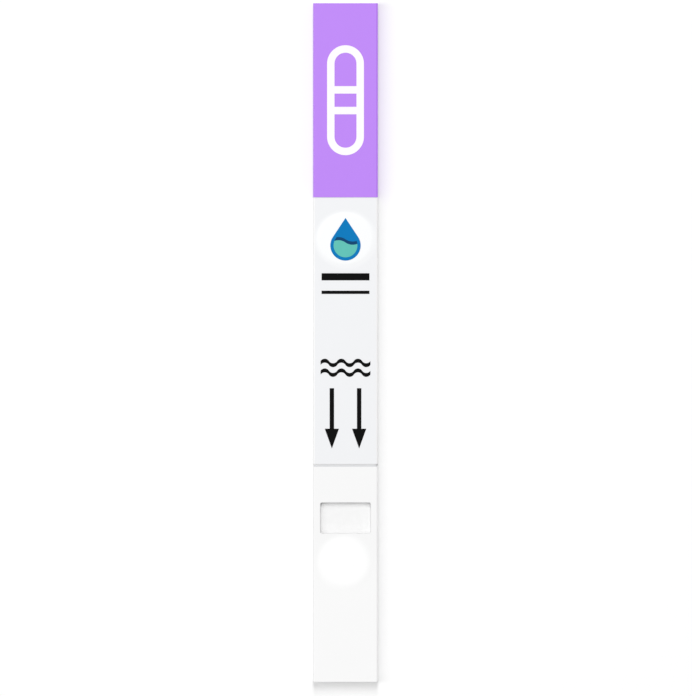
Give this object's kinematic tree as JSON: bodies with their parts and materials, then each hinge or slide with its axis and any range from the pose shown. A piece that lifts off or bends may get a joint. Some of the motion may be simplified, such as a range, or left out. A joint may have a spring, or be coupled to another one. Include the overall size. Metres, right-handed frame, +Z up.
{
  "type": "drug test strip",
  "caption": "Slim dip strip: two moulded shells round a laminated absorbent strip, a film-wrapped handle, a printed body, a level groove and a sample window.",
  "frame": {"origin": "on the surface that the strip lies on, under the middle of the strip", "axes": "+X across the strip, +Y along it towards the handle, +Z up out of the printed face"},
  "size_m": [0.01, 0.105, 0.0027],
  "materials": {
    "white_plastic": "fine satin moulded white",
    "card": "smooth white vinyl card",
    "pad": "white pressed cotton fibre",
    "glass_fibre": "pinkish glass fibre with dried reagent",
    "membrane": "fine white porous membrane",
    "grey_film": "satin grey-blue film",
    "purple_film": "satin purple film",
    "white_ink": "white screen ink",
    "blue_ink": "blue screen ink",
    "teal_ink": "teal screen ink",
    "navy_ink": "navy screen ink",
    "black_ink": "black screen ink"
  },
  "bodies": {
    "root": {"back_shell": "white_plastic", "front_shell": "white_plastic", "backing_card": "card", "sample_pad": "pad", "conjugate_pad": "glass_fibre", "test_membrane": "membrane", "absorbent_pad": "pad", "body_label": "grey_film", "handle_sleeve": "purple_film", "handle_sign": "white_ink", "emblem_field": "white_ink", "emblem_drop": "blue_ink", "emblem_liquid": "teal_ink", "emblem_band": "navy_ink", "label_rules": "black_ink", "level_waves": "black_ink", "level_arrows": "black_ink", "dip_spot": "white_ink"}
  },
  "joints": []
}
